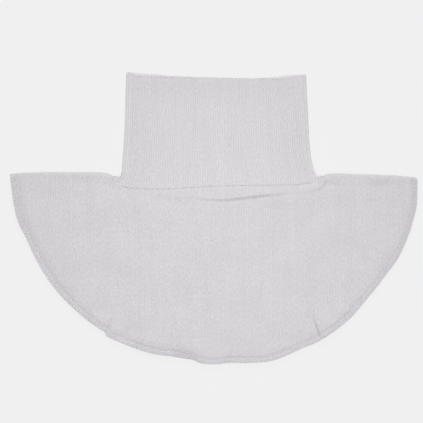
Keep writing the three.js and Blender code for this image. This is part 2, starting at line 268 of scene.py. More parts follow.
# %% Relief of the front layer
RELIEF_FADE = 8
WAVE_HEIGHT = 1.0
WAVE_REACH = 60
WAVE_TURNS = 11
WAVE_START = 0.6
SMALL_LUMPS = (0.6, 15, 13, 5.0)
LARGE_LUMPS = (1.2, 42, 34, 9.0)
GROOVE = {"left": (-1.0, 0.9), "right": (-1.0, 0.9), "edge": 1.0}
darts = [
    fold_line(LEFT_DART, left=(0.5, 2.5), right=(-0.9, 1.1), edge=0.7),
    fold_line(RIGHT_DART, **GROOVE),
]
folds = [
    fold_line(CREASE, left=(0.6, 7.0), right=(-0.4, 5.0), edge=1.35),
    *darts,
    fold_line(PUCKER_ABOVE, **GROOVE),
    fold_line(PUCKER_BELOW, **GROOVE),
    fold_line(LONG_FOLD, left=(-1.0, 6.0), right=(1.0, 6.0), edge=3.5),
    fold_line(SHOULDER_ROLL, left=(0.5, 6.0), right=(-1.0, 7.0), edge=3.0),
    fold_line(HEM_FOLD, left=(1.0, 7.0), right=(-0.6, 5.0), edge=3.0),
]


def lumps(x, y, kind):
    height, across, down, part = kind
    return height * noise.noise(Vector((x / across, y / down, part)))


def hem_waves(before_hem, hem_angle):
    slack = math.cos(hem_angle) ** 2 * (1 - smoothstep(0, WAVE_REACH, before_hem))
    return WAVE_HEIGHT * slack * (1 + math.sin(WAVE_TURNS * hem_angle + WAVE_START)) / 2


print("cloth just under the crease:", round(folds[0](28, 20.5), 2), "mm lower")

# %% [markdown]
# ## From the flat cut to the cloth as it lies
# One function takes a point of the flat cut and a depth under the cloth's outer face, and gives its
# place in space. Every thread and wall of the cape goes through it, so they stay together. Between neck
# and hem the two layers come closer, and the front's crown over the neck dies away.


# %% Lay the cape
NECK_MIDDLE = mix(LEFT_CORNER[0], RIGHT_CORNER[0], 0.5)
NECK_HALF = (RIGHT_CORNER[0] - LEFT_CORNER[0]) / 2
SLACK_BY_HEM = (0, 12)  # the lumps die away between these distances from the hem
SLACK_BY_NECK = (2, 16)  # and from the neck seam
NEVER_ZERO = 1e-6


def to_hem(x, d):
    """Distance outwards to the hem's ellipse, and the angle of the hem from straight down."""
    drop = max(abs(d) - HEM_RADIUS * TAKE_UP, 0.0)
    across, down = x / CAPE_HALF_WIDTH, drop / CAPE_HALF_LENGTH
    reach = math.hypot(across, down) or NEVER_ZERO
    return max((1 / reach - 1) * math.hypot(x, drop), 0.0), math.atan2(across, down)


def lay_cape(x, d, depth):
    side = max(SLIT_ENDS[0] - x, x - SLIT_ENDS[1], 0.0)
    below = abs(d) - slit_edge(x, "front" if d > 0 else "back")
    from_neck = math.hypot(side, max(below, 0.0))
    before_hem, hem_angle = to_hem(x, d)
    share = from_neck / (from_neck + before_hem)
    fall = smoothstep(0, 1, share)
    radius = mix(NECK_RADIUS, HEM_RADIUS, fall)
    flat = abs(d) - radius * QUARTER
    if flat < 0:
        turn = QUARTER - d / radius
        y = fold_y(x, d) - radius + radius * math.sin(turn)
        out = radius - depth + (sum(fold(x, y) for fold in folds) if d > 0 else 0.0)
        return tug(Vector((x, y + (out - radius) * math.sin(turn), radius + out * math.cos(turn))))
    y = fold_y(x, d) - radius - flat
    if d < 0:
        return tug(Vector((x, y, depth)))
    across = (x - mix(NECK_MIDDLE, 0, share)) / mix(NECK_HALF, CAPE_HALF_WIDTH, share)
    crown = NECK_CROWN * max(1 - across**2, 0.0) * (1 - fall)
    lift = crown + hem_waves(before_hem, hem_angle)
    slack = lumps(x, y, SMALL_LUMPS) + lumps(x, y, LARGE_LUMPS)
    lift += slack * smoothstep(*SLACK_BY_HEM, before_hem) * smoothstep(*SLACK_BY_NECK, from_neck)
    lift *= smoothstep(0, RELIEF_FADE, flat)
    return tug(Vector((x, y, 2 * radius + lift + sum(fold(x, y) for fold in folds) - depth)))


print("front middle, 100 mm down:", tuple(round(c, 2) for c in lay_cape(0, 100, 0)))

# %% [markdown]
# ## The hem line
# The hem is described by its angle, and the overlocked band is a strip along it. Points evenly spaced
# along the line are what a sewing machine makes its stitches at, so the line is measured and resampled.

# %% Hem line, evenly spaced
HEM_END = math.degrees(QUARTER - HEM_RADIUS / CAPE_HALF_LENGTH)
FOLD_LENGTH = HEM_RADIUS * QUARTER
FOLD_STEPS = 6
LEAST_PEEP = 0.1


def hem_point(angle, layer, inside):
    """Point of the flat cut on the hem, moved in from it. One layer ends inside the other's outline."""
    turned = math.radians(angle)
    shorter = hem_peep(angle)
    if layer == "back":
        parted = smoothstep(0, BACK_MEETS, math.cos(turned))
        shorter = BACK_SHORTER * parted if shorter < LEAST_PEEP else 0.0
    out = hem_fullness(angle) - shorter - inside
    normal = Vector((math.sin(turned) / CAPE_HALF_WIDTH, math.cos(turned) / CAPE_HALF_LENGTH)).normalized()
    x = CAPE_HALF_WIDTH * math.sin(turned) + out * normal.x
    d = CAPE_HALF_LENGTH * math.cos(turned) + out * normal.y + HEM_RADIUS * TAKE_UP
    return Vector((x, d if layer == "front" else -d))


def hem_line(inside, step=0.25):
    """The closed hem line: front from left to right, round the fold, and back again."""
    count = round(2 * HEM_END / step)
    angles = [mix(-HEM_END, HEM_END, i / count) for i in range(count + 1)]
    front = [hem_point(a, "front", inside) for a in angles]
    back = [hem_point(a, "back", inside) for a in reversed(angles)]
    turns = [mix(FOLD_LENGTH, -FOLD_LENGTH, i / FOLD_STEPS) for i in range(1, FOLD_STEPS)]
    right = [Vector((mix(front[-1].x, back[0].x, 0.5), d)) for d in turns]
    left = [Vector((mix(front[0].x, back[-1].x, 0.5), -d)) for d in turns]
    return front + right + back + left


def resample(lines, count):
    """Points at count even steps along the first of several matching closed lines, on each line."""
    lengths = [0.0]
    for a, b in zip(lines[0], lines[0][1:] + lines[0][:1]):
        lengths.append(lengths[-1] + (b - a).length)
    found = []
    for k in range(count):
        at = lengths[-1] * k / count
        i = bisect_right(lengths, at) - 1
        share = (at - lengths[i]) / (lengths[i + 1] - lengths[i])
        found.append([line[i].lerp(line[(i + 1) % len(line)], share) for line in lines])
    return found, lengths[-1]


_, HEM_LENGTH = resample([hem_line(0)], 4)
print("hem line:", round(HEM_LENGTH), "mm all round")

# %% [markdown]
# ## Knitted ribs
# Rib knit has rounded ridges with narrow valleys between them, on both faces, where a ridge on one face
# is a valley on the other. They are real relief here, four columns of faces to a rib, because at an
# angle they show at every edge. The stitches in them are too small for that and are in the material.

# %% Rib profile
RIB_DEPTH = 0.6
CAPE_RIB = 2.65
MEAN_RIB = 0.75  # mean depth of a rib, as a share of the deepest
UNEVEN_RIB = (0.5, 9, 24, 8.0)
RIB_WANDER = (0.22, 26, 55, 3.0)


def rib(turns, depth=RIB_DEPTH):
    """Depth of the cloth's face under its ridges, by how many ribs across the place is."""
    return depth * (1 - abs(math.cos(math.pi * turns)))


def uneven(x, d):
    """How far the ribs wander there, in ribs, and how deep they are, as a share."""
    return lumps(x, d, RIB_WANDER), MEAN_RIB + lumps(x, d, UNEVEN_RIB)


# %% [markdown]
# ## Building cloth from a flat grid or a round tube
# A grid operator makes the flat cut and a spin makes a knitted tube, both counted in columns and rows.
# The solidify operator gives them a wall while they are still plain, where it can't go wrong, and only
# then does each vertex move to where the cloth lies. The UV map keeps the flat cut, in metres, because
# bpy works in metres and these tables are in millimetres.


# %% Cloth helpers
def give_wall(bm):
    bmesh.ops.recalc_face_normals(bm, faces=bm.faces)
    bmesh.ops.solidify(bm, geom=bm.faces[:], thickness=1.0)
    bm.verts.index_update()


def add_object(name, data):
    made = bpy.data.objects.new(name, data)
    bpy.context.scene.collection.objects.link(made)
    return made


def make_piece(bm, name):
    """Moves a finished shape to the part's frame, in metres, and makes it an object."""
    bmesh.ops.translate(bm, verts=bm.verts, vec=FRAME_SHIFT)
    bmesh.ops.scale(bm, verts=bm.verts, vec=(MM, MM, MM))
    if bm.calc_volume(signed=True) < 0:
        bmesh.ops.reverse_faces(bm, faces=bm.faces)
    for face in bm.faces:
        face.smooth = True
    mesh = bpy.data.meshes.new(name)
    bm.to_mesh(mesh)
    bm.free()
    print(f"{name}: {sum(len(p.vertices) - 2 for p in mesh.polygons)} triangles")
    return add_object(name, mesh)


def lay_out(bm, places, flats, columns=None, painted_shading=None):
    """Writes the flat cut to the UV map and moves each vertex to where it lies."""
    layer = bm.loops.layers.uv.new("flat_cut")
    for face in bm.faces:
        cut = [flats[loop.vert.index] for loop in face.loops]
        low = min(u for u, _ in cut)
        for loop, (u, v) in zip(face.loops, cut):
            over = columns and u - low > columns / 2
            loop[layer].uv = ((u - columns if over else u) * MM, v * MM)
    # Each vertex keeps its painted shade, or painted light below zero, which the materials read.
    painted_light_and_shade = bm.verts.layers.float.new("painted_light_and_shade")
    for vert in bm.verts:
        vert.co = places[vert.index]
        vert[painted_light_and_shade] = painted_shading[vert.index] if painted_shading else 0.0


# %% [markdown]
# ## A knitted tube
# The collar is knitted as a tube, and the band of the hem and the allowance of the neck seam close on
# themselves as well. A line of vertices, one to a row, is spun a full turn, and use_merge joins the last
# column to the first. Each vertex then reads its column and row off its place.


# %% Spin a tube
def tube(columns, rows):
    """A tube with a wall, and for each vertex its column, its row and 0 outside or 1 inside."""
    bm = bmesh.new()
    radius = columns / math.tau
    line = [bm.verts.new((radius, 0, row)) for row in range(rows)]
    edges = [bm.edges.new(pair) for pair in zip(line, line[1:])]
    bmesh.ops.spin(
        bm, geom=line + edges, cent=(0, 0, 0), axis=(0, 0, 1), angle=math.tau, steps=columns,
        use_merge=True,
    )
    give_wall(bm)
    marks = []
    for vert in bm.verts:
        column = math.atan2(vert.co.y, vert.co.x) / math.tau * columns
        away = abs(math.hypot(vert.co.x, vert.co.y) - radius)
        marks.append((round(column) % columns, round(vert.co.z), round(away)))
    return bm, marks


# %% [markdown]
# ## The cape
# The grid's columns are quarter ribs, so every ridge and valley has its own line of vertices. Its rows
# gather near the neck seam, where the seam allowance and the crease are, and near the hem. Two columns
# move to the ends of the neck slit, so that the slit can be cut between them.

# %% Columns and rows of the cape
NEAR_NECK = [
    0, 0.35, 0.8, 1.4, 2.2, 3.3, 4.6, 6, 7.4, 8.6, 9.7, 10.8, 11.9, 13, 14.1, 15.2, 16.3, 17.5, 19, 21.5,
    25, 30,
]
NEAR_NECK_BACK = [0, 0.4, 1, 2, 3.5, 5.5, 8, 12, 18]
NEAR_HEM = [20, 17, 14, 11.5, 9, 7, 5, 3.2, 1.8, 0.8, 0]
NEAR_HEM_BACK = [6, 3, 1, 0]
SHORT_COLUMN = 60
TIP_GAP = 0.3  # the last column stays this far from the cape's tip
FOLD_OVERLAP = 0.2  # how far past the shoulder fold's flat end a layer's edge is still read


def row_places(length, near_neck, middle, near_hem):
    """Distances of a column's rows from its start, squeezed together where the column is short."""
    squeeze = min(1.0, length / SHORT_COLUMN)
    start = [at * squeeze for at in near_neck]
    end = [length - at * squeeze for at in near_hem]
    return start + [mix(start[-1], end[0], (k + 1) / (middle + 1)) for k in range(middle)] + end


def reader(line):
    """The distance of a line of the flat cut from the fold, as a function of x."""
    rows = sorted((p.x, abs(p.y)) for p in line)
    xs = [x for x, _ in rows]

    def value(x):
        i = min(max(bisect_right(xs, x), 1), len(xs) - 1)
        share = (x - xs[i - 1]) / max(xs[i] - xs[i - 1], NEVER_ZERO)
        return mix(rows[i - 1][1], rows[i][1], min(max(share, 0.0), 1.0))

    return value


inner_line = hem_line(BAND_WIDTH, 0.1)
front_edge = reader([p for p in inner_line if p.y > FOLD_LENGTH - FOLD_OVERLAP])
back_edge = reader([p for p in inner_line if p.y < FOLD_OVERLAP - FOLD_LENGTH])
tips = min(p.x for p in inner_line), max(p.x for p in inner_line)
quarter_rib = CAPE_RIB / 4
side_columns = math.ceil(CAPE_HALF_WIDTH / quarter_rib)
columns = [k * quarter_rib for k in range(-side_columns, side_columns + 1)]
columns = [x for x in columns if tips[0] + TIP_GAP < x < tips[1] - TIP_GAP]
for end in SLIT_ENDS:
    nearest = min(range(len(columns)), key=lambda i: abs(columns[i] - end))
    columns[nearest] = end
columns = [tips[0], *columns, tips[1]]
print("cape columns:", len(columns), "from", round(tips[0], 1), "to", round(tips[1], 1))

# %% [markdown]
# ## Cutting the neck slit
# The slit could be knifed by hand. Here the grid already has a row on the shoulder fold, so splitting
# its edges between the two corner columns opens it exactly there, and the grid stays even.

# %% Grid with a slit
FRONT_MIDDLE = 14
BACK_MIDDLE = 8
front_rows = len(NEAR_NECK) + FRONT_MIDDLE + len(NEAR_HEM) - 1
back_rows = len(NEAR_NECK_BACK) + BACK_MIDDLE + len(NEAR_HEM_BACK) - 1
slit_columns = [columns.index(end) for end in SLIT_ENDS]

bm = bmesh.new()
grid_size = len(columns) - 1, front_rows + back_rows
bmesh.ops.create_grid(bm, x_segments=grid_size[0], y_segments=grid_size[1], size=0.5)
bmesh.ops.translate(bm, verts=bm.verts, vec=(0.5, 0.5, 0))
bmesh.ops.scale(bm, verts=bm.verts, vec=(*grid_size, 1))


def on_slit(vert):
    return round(vert.co.y) == back_rows and slit_columns[0] <= round(vert.co.x) <= slit_columns[1]


slit = [e for e in bm.edges if on_slit(e.verts[0]) and on_slit(e.verts[1])]
bmesh.ops.split_edges(bm, edges=slit)
print("slit of", len(slit), "edges cut in a grid of", len(bm.faces), "faces")

# %% [markdown]
# ## From the grid to the flat cut
# Each column starts at the slit's edge and ends at the needle line of the hem, so its rows are spread
# over that length. A vertex finds its column and row by where it is in the grid, and those on the fold
# row belong to the front or the back by the faces round them.

# %% Spread the rows over the flat cut
LAYERS = [
    ("front", front_edge, 1, (NEAR_NECK, FRONT_MIDDLE, NEAR_HEM)),
    ("back", back_edge, -1, (NEAR_NECK_BACK, BACK_MIDDLE, NEAR_HEM_BACK)),
]
flat_cut = {}
for i, x in enumerate(columns):
    for layer, edge, sign, spacing in LAYERS:
        start = slit_edge(x, layer)
        for row, at in enumerate(row_places(max(edge(x), FOLD_LENGTH) - start, *spacing)):
            flat_cut[i, layer, row] = Vector((x, sign * (start + at), 0)), at, edge(x) - start - at
marks = []
for vert in bm.verts:
    column = round(vert.co.x)
    row = round(vert.co.y) - back_rows
    middle = sum(f.calc_center_median().y for f in vert.link_faces) / len(vert.link_faces)
    layer = "front" if row > 0 or (row == 0 and middle > back_rows) else "back"
    marks.append(flat_cut[column, layer, abs(row)])
for vert, (flat, _, _) in zip(bm.verts, marks):
    vert.co = flat
print("flat cut:", round(columns[-1] - columns[0]), "mm wide before the band")

# %% [markdown]
# ## How deep the knit's faces are
# Each vertex gets its depth under the cloth's smooth outer face: ribs on both faces, a dip into the neck
# seam and one into the needle line of the hem. The neck seam's groove is shallower at its two ends,
# where the seam turns round the pressed sides of the collar.

# %% Depth of the cape's faces
SEAM_DIP = 0.75
SEAM_REACH = 1.2
NEEDLE_DIP = 0.45
NEEDLE_REACH = 1.6
INNER_DIP = 3  # the inner face moves by the dip divided by this
RIB_IN_DIP = 2  # and the ribs flatten by the dip divided by this
LEFT_SHALLOW = 0.38  # how much shallower the groove is at the seam's left end
LEFT_RUN = (3.5, 6.5)  # and how far from the corner it deepens to the whole
RIGHT_SHALLOW = 0.5
RIGHT_RUN = (2.4, 8)


def seam_dip(x):
    shallow = LEFT_SHALLOW * (1 - smoothstep(*LEFT_RUN, x - NECK_LEFT))
    return SEAM_DIP * (1 - shallow - RIGHT_SHALLOW * (1 - smoothstep(*RIGHT_RUN, NECK_RIGHT - x)))


def cape_depth(x, d, from_seam, from_needle, inside):
    dip = seam_dip(x) * (1 - smoothstep(0, SEAM_REACH, from_seam))
    dip += NEEDLE_DIP * (1 - smoothstep(0, NEEDLE_REACH, from_needle))
    wander, share = uneven(x, d)
    if inside:
        valley = share * rib(x / CAPE_RIB + wander + 0.5) * (1 - dip / SEAM_DIP)
        return CAPE_WALL - valley - dip / INNER_DIP
    return share * rib(x / CAPE_RIB + wander) * (1 - dip / SEAM_DIP / RIB_IN_DIP) + dip


print("neck seam's groove:", round(seam_dip(0), 2), "mm, at its right end", round(seam_dip(113), 2), "mm")

# %% [markdown]
# ## Painted shade and light on the knit
# The knit's colour is darkened as painted shade along the hem, at the shoulder fold, in the darts, at the
# collar's rim and sides and in small spots, and made paler as painted light in some other places. Painting
# that by hand would be lost with the next change, so it is worked out from the same places as the shape
# and kept in a vertex attribute for the materials: above zero is painted shade, below zero painted light.

# %% Greyness of the cape
HEM_SHADE_REACH = 10.0  # how far from the needle line the hem's painted shade reaches
# How strong the hem's painted shade is, by the angle from straight down
hem_shade_by_angle = smooth_curve([
    (-90, 1.0), (-45, 1.0), (-38, 0.7), (-20, 0.65), (-12, 0.9), (0, 0.45), (30, 0.45), (45, 0.7),
    (60, 0.45), (90, 0.4),
])
SHOULDER_SHADE = 0.5  # how strong the painted shade is at the shoulder fold
SHOULDER_REACH = (4, 18)  # and between which distances from the fold it dies away
DART_SHADE = -1.4  # painted shade in the darts, for each millimetre of a dart's relief
DART_SHADE_MOST = 1.5
# Spots of painted shade on the front, painted light where below zero: x, y, reach and share
PAINTED_SPOTS = [
    (130, 29, 15, 0.4), (198, 20, 14, 0.4), (-162, -60, 14, 0.45), (56, 17, 9, 0.5), (73, 18, 9, 0.5),
    (105, -107, 18, 0.35), (18, -139, 14, 0.5), (42, -150, 9, 0.4), (-36, -149, 10, 0.8),
    (-88, -119, 15, 0.35), (-128, -117, 9, -0.8), (129, -114, 9, -0.5), (220, -8, 12, -0.4),
    (-112, 43.5, 2.6, 1.0), (-99, 35, 3.5, 1.0), (-93, 33.2, 3, 0.7), (97, 36.5, 3.5, -0.8),
    (103, 37.2, 3.5, -0.8), (109, 38.8, 3.5, -0.8), (119.9, 45.5, 1.7, 2.2),
]


def painted_spots(x, y):
    return sum(share * bell(math.hypot(x - at_x, y - at_y), reach) for at_x, at_y, reach, share in PAINTED_SPOTS)


def painted_cape_shading(x, d):
    """Painted shade there, by hem, shoulder fold, darts and spots, and painted light in some spots."""
    before_hem, angle = to_hem(x, d)
    angle = math.degrees(angle)
    by_hem = 1 - smoothstep(0, HEM_SHADE_REACH, before_hem + hem_fullness(angle) - BAND_WIDTH)
    by_fold = SHOULDER_SHADE * (1 - smoothstep(*SHOULDER_REACH, abs(d)))
    shade = max(by_hem * hem_shade_by_angle(angle), by_fold)
    if d < 0:
        return shade
    y = lay_cape(x, d, 0).y
    in_dart = DART_SHADE * sum(dart(x, y) for dart in darts)
    return max(shade, min(in_dart, DART_SHADE_MOST)) + painted_spots(x, y)


print("greyness by the hem, bottom middle:", round(painted_cape_shading(0, 205), 2))

# %% [markdown]
# ## Wall and lie of the cape
# The flat cut gets its wall while it is still flat, where the solidify operator can't go wrong. Then each
# vertex takes its depth and moves to where the cloth lies, folded over the shoulders.

# %% Finish the cape
FAR_FROM_SEAM = 9.0  # columns beside the slit have no seam
by_flat = {(round(flat.x, 4), round(flat.y, 4)): (at, left) for flat, at, left in marks}
give_wall(bm)
places, flats, painted_shading = [], [], []
for vert in bm.verts:
    x, d = vert.co.x, vert.co.y
    at, left = by_flat[round(x, 4), round(d, 4)]
    from_seam = at if SLIT_ENDS[0] <= x <= SLIT_ENDS[1] else FAR_FROM_SEAM
    depth = cape_depth(x, d, from_seam, left, abs(vert.co.z) > 0.5)
    places.append(lay_cape(x, d, depth))
    flats.append((x, d))
    painted_shading.append(painted_cape_shading(x, d))
lay_out(bm, places, flats, painted_shading=painted_shading)
cape = make_piece(bm, "cape_knit")

# %% [markdown]
# ## The overlocked band
# The cut edge of the cape is trimmed and sewn over in one pass. The cloth of the band is squeezed thin
# by the threads, dips at the needle line and has a rounded edge. It is a tube of faces along the hem,
# spun round and then laid on the hem line.

# %% Band along the hem
BAND_COLUMNS = 1360
BAND_CLOTH = 1.3
BAND_ROWS = [0, 0.7, 1.5, 2.6, 3.8, 4.8, 5.5, 5.9, 6.15]
BAND_TOP = 0.5  # depth of the band's cloth under the cape's outer face
BAND_DIP = 0.6  # the needle line's dip in the band, as a share of that in the cape
BAND_DIP_REACH = 1.2
EDGE_START = 5.0  # the cut edge draws in from here
EDGE_RUN = 1.25
OUTER_PART = (2.8, 4.6)  # where the band's inner part blends into its outer part
# Painted shade on the band's outer part by the angle from straight down, and the inner part's share of it
band_edge_shade = smooth_curve([
    (-90, 0.2), (-60, 0.3), (-40, 0.5), (-20, 0.6), (-13, 0.7), (-10, 1.5), (-6, 1.7), (-3, 1.0),
    (1, 0.8), (4.5, 1.5), (9, 0.8), (20, 0.8), (50, 0.7), (70, 1.1), (90, 1.25),
])
inner_share = smooth_curve([
    (-90, 0.4), (-16, 0.4), (-12, 1.2), (-5, 1.2), (-1, 0.4), (55, 0.4), (75, 0.1), (90, 0.1),
])
band_lines, _ = resample([hem_line(0), hem_line(BAND_WIDTH)], BAND_COLUMNS)


def band_flat(column, across):
    """Point of the flat cut: column along the hem, and across it from the needle line."""
    i = math.floor(column) % BAND_COLUMNS
    share = column - math.floor(column)
    outer, inner = (a.lerp(b, share) for a, b in zip(band_lines[i], band_lines[(i + 1) % BAND_COLUMNS]))
    return inner.lerp(outer, across / BAND_WIDTH)


def band_depth(across, inside):
    edge = math.sqrt(max(1 - (max(across - EDGE_START, 0) / EDGE_RUN) ** 2, 0.0))
    dip = NEEDLE_DIP * BAND_DIP * (1 - smoothstep(0, BAND_DIP_REACH, across))
    middle = BAND_TOP + BAND_CLOTH / 2
    half = BAND_CLOTH / 2 * edge
    return middle + half if inside else middle - half + dip


bm, marks = tube(BAND_COLUMNS, len(BAND_ROWS))
places, flats, painted_shading = [], [], []
for column, row, inside in marks:
    across = BAND_ROWS[row]
    flat = band_flat(column, across)
    places.append(lay_cape(flat.x, flat.y, band_depth(across, inside)))
    flats.append(flat[:])
    angle = math.degrees(to_hem(*flat)[1])
    painted_shading.append(band_edge_shade(angle) * mix(inner_share(angle), 1.0, smoothstep(*OUTER_PART, across)))
lay_out(bm, places, flats, painted_shading=painted_shading)
band = make_piece(bm, "hem_band")

# %% [markdown]
# ## Overlock threads
# A three-thread overlock has a needle thread in straight stitches along the band's inner side, and two
# looper threads that zigzag over each face and lock round each other at the edge. Each is one closed
# line: some 450 stitches, a little uneven, with few points each.

# %% Stitches of the hem
STITCH = 3.0
STITCHES = round(HEM_LENGTH / STITCH)
COLUMNS_A_STITCH = BAND_COLUMNS / STITCHES
UNEVEN_STITCH = random.Random(11)
CLOTH_ALONE = 0.9  # up to this painted shade of the band its threads get none of it
# One stitch of each thread: share of the stitch's length, place across the band and depth
UPPER_LOOP = [
    (0.0, 0.3, 0.5), (0.14, 1.6, 0.2), (0.3, 3.6, 0.16), (0.42, 5.5, 0.3), (0.46, 6.25, 0.7),
    (0.54, 6.25, 0.7), (0.58, 5.5, 0.3), (0.7, 3.6, 0.16), (0.86, 1.6, 0.2),
]
LOWER_LOOP = [
    (0.5, 0.3, 1.7), (0.66, 1.8, 2.0), (0.84, 3.8, 2.04), (0.93, 5.6, 1.85), (0.97, 6.3, 1.4),
    (1.03, 6.3, 1.4), (1.07, 5.6, 1.85), (1.16, 3.8, 2.04), (1.34, 1.8, 2.0),
]
NEEDLE_LOOP = [(0.0, 0.0, 0.9), (0.2, 0.05, 0.3), (0.5, 0.1, 0.2), (0.8, 0.05, 0.3)]
# Name, stitch, how uneven it is, and the thread's radius
OVERLOCK = [
    ("overlock_upper", UPPER_LOOP, 0.06, 0.34),
    ("overlock_lower", LOWER_LOOP, 0.04, 0.34),
    ("overlock_needle", NEEDLE_LOOP, 0.08, 0.3),
]


def thread_shade(place):
    """Painted shade on a thread of the hem, from its place."""
    across, down = place.x / CAPE_HALF_WIDTH, (SHOULDER_Y - place.y) / CAPE_HALF_LENGTH
    return max(band_edge_shade(math.degrees(math.atan2(across, down))) - CLOTH_ALONE, 0.0)


print(STITCHES, "overlock stitches of", STITCH, "mm")

# %% [markdown]
# ## From a line of points to a thread
# Extruding a ring along the line would need every turn worked out. A curve with a round bevel does that
# by itself, so each thread starts as one. It is then turned into a mesh and moved to the part's frame.


# %% Sew the hem
def thread(name, points, radius, painted_shading=None):
    """A closed thread through the points, as a mesh."""
    curve = bpy.data.curves.new(name, "CURVE")
    curve.dimensions = "3D"
    curve.bevel_depth = radius
    curve.bevel_resolution = 1
    spline = curve.splines.new("POLY")
    spline.points.add(len(points) - 1)
    for point, place in zip(spline.points, points):
        point.co = (*place, 1)
    spline.use_cyclic_u = True
    made = add_object(name, curve)
    bm = bmesh.new()
    bm.from_mesh(made.evaluated_get(bpy.context.evaluated_depsgraph_get()).to_mesh())
    bpy.data.objects.remove(made)
    bpy.data.curves.remove(curve)
    bmesh.ops.remove_doubles(bm, verts=bm.verts, dist=1e-4)
    bmesh.ops.recalc_face_normals(bm, faces=bm.faces)
    painted_light_and_shade = bm.verts.layers.float.new("painted_light_and_shade")
    for vert in bm.verts:
        vert[painted_light_and_shade] = painted_shading(vert.co) if painted_shading else 0.0
    return make_piece(bm, name)


def stitched(stitch, unevenness):
    """Points of a thread, every stitch a little shifted and a little wider or narrower."""
    points = []
    for k in range(STITCHES):
        shift, wide = (unevenness * UNEVEN_STITCH.uniform(-1, 1) for _ in range(2))
        for along, across, depth in stitch:
            flat = band_flat((k + along + shift) * COLUMNS_A_STITCH, across * (1 + wide))
            points.append(lay_cape(flat.x, flat.y, depth))
    return points


threads = [
    thread(name, stitched(stitch, unevenness), radius, thread_shade)
    for name, stitch, unevenness, radius in OVERLOCK
]

# %% [markdown]
# ## The collar
# The collar is a knitted tube, folded double at its mouth, so both of its cut ends are in the neck seam.
# It is made as that one long tube: up the outside, round the fold and down the inside. Pressed flat, it
# has a front, a back and two round side folds.

# %% Sizes of the collar
COLLAR_FRONT = 320  # columns across the front, four to a rib
COLLAR_FOLD = 24
COLLAR_COLUMNS = 2 * (COLLAR_FRONT + COLLAR_FOLD)
COLLAR_RIB = 2.5
collar_left = smooth_curve([
    (38, NECK_LEFT), (46, -103.7), (49, -102.0), (52, -101.3), (62, -100.3), (75, -99.2), (92, -98.0),
    (115, -97.1), (140, -96.6), (162, -95.9),
])
collar_right = smooth_curve([
    (38, NECK_RIGHT), (44, 115.4), (46.5, 115.0), (49.5, 113.2), (52, 111.9), (62, 108.6), (75, 106.5),
    (92, 105.3), (115, 104.3), (140, 102.9), (162, 102.3),
])
RIM = {
    "front": smooth_curve([
        (-92, 159), (-84, 156.2), (-69, 155), (-47, 154.3), (-20, 154), (10, 153.6), (46, 153.2),
        (66, 152.4), (84, 154), (99, 157.4),
    ]),
    "back": smooth_curve([
        (-92, 160.9), (-84, 160.2), (-69, 159.0), (-47, 157.3), (-20, 155.8), (10, 154.9), (46, 154.4),
        (66, 155.7), (84, 157.8), (99, 158.3),
    ]),
}
RIM_ENDS = (-92, 99)
MOUTH_RADIUS = 2.65  # the mouth lies flatter than the neck
MOUTH_CROWN = 0.8
MOUTH_THIN = 0.76  # how thin the knit is pressed there
MOUTH_REACH = 55
print("collar:", COLLAR_COLUMNS // 4, "ribs round")

# %% [markdown]
# ## From the tube to the flattened collar
# A column of the tube is on the front, on the back or on one of the two side folds, and the first function
# says on which. The next lays a place of the tube on the table, and the others say where a column meets
# the seam and how high its rim is.


# %% Where the collar lies
def collar_column(column):
    """Layer of a column and its share of the way across, or round the fold from front to back."""
    column %= COLLAR_COLUMNS
    if column <= COLLAR_FRONT:
        return "front", column / COLLAR_FRONT, 0
    column -= COLLAR_FRONT
    if column < COLLAR_FOLD:
        return "fold", math.pi * column / COLLAR_FOLD, 1
    column -= COLLAR_FOLD
    if column <= COLLAR_FRONT:
        return "back", 1 - column / COLLAR_FRONT, 0
    return "fold", math.pi * (1 - (column - COLLAR_FRONT) / COLLAR_FOLD), -1


def lay_collar(column, y, depth):
    layer, share, side = collar_column(column)
    pressed = 1 - smoothstep(0, MOUTH_REACH, collar_rim(column) - y)
    radius = mix(NECK_RADIUS, MOUTH_RADIUS, pressed)
    depth *= mix(1.0, MOUTH_THIN, pressed)
    left = collar_left(y) + FOLD_ACROSS
    right = collar_right(y) - FOLD_ACROSS
    if layer == "fold":
        out = (FOLD_ACROSS - depth) * math.sin(share)
        x = left - out if side < 0 else right + out
        return tug(Vector((x, y, radius + (radius - depth) * math.cos(share))))
    if layer == "back":
        return tug(Vector((mix(left, right, share), y, depth)))
    crown = mix(NECK_CROWN, MOUTH_CROWN, pressed) * (1 - (2 * share - 1) ** 2)
    return tug(Vector((mix(left, right, share), y, 2 * radius + crown - depth)))


def seam_x(column):
    """Where a column of the collar meets the seam, across the front or the back."""
    layer, share, side = collar_column(column)
    return mix(LEFT_CORNER[0], RIGHT_CORNER[0], (side + 1) / 2 if layer == "fold" else share)


def collar_seam(column, depth):
    layer, share, side = collar_column(column)
    if layer == "fold":
        return (LEFT_CORNER if side < 0 else RIGHT_CORNER)[1] + (NECK_RADIUS - depth) * math.sin(share)
    seam = front_seam if layer == "front" else back_seam
    return seam(seam_x(column))


def collar_rim(column):
    layer, share, side = collar_column(column)
    if layer != "fold":
        return RIM[layer](mix(*RIM_ENDS, share))
    end = RIM_ENDS[0 if side < 0 else 1]
    return mix(RIM["front"](end), RIM["back"](end), share / math.pi)


print("collar above the seam, front middle:", round(collar_rim(160) - collar_seam(160, 0)), "mm")
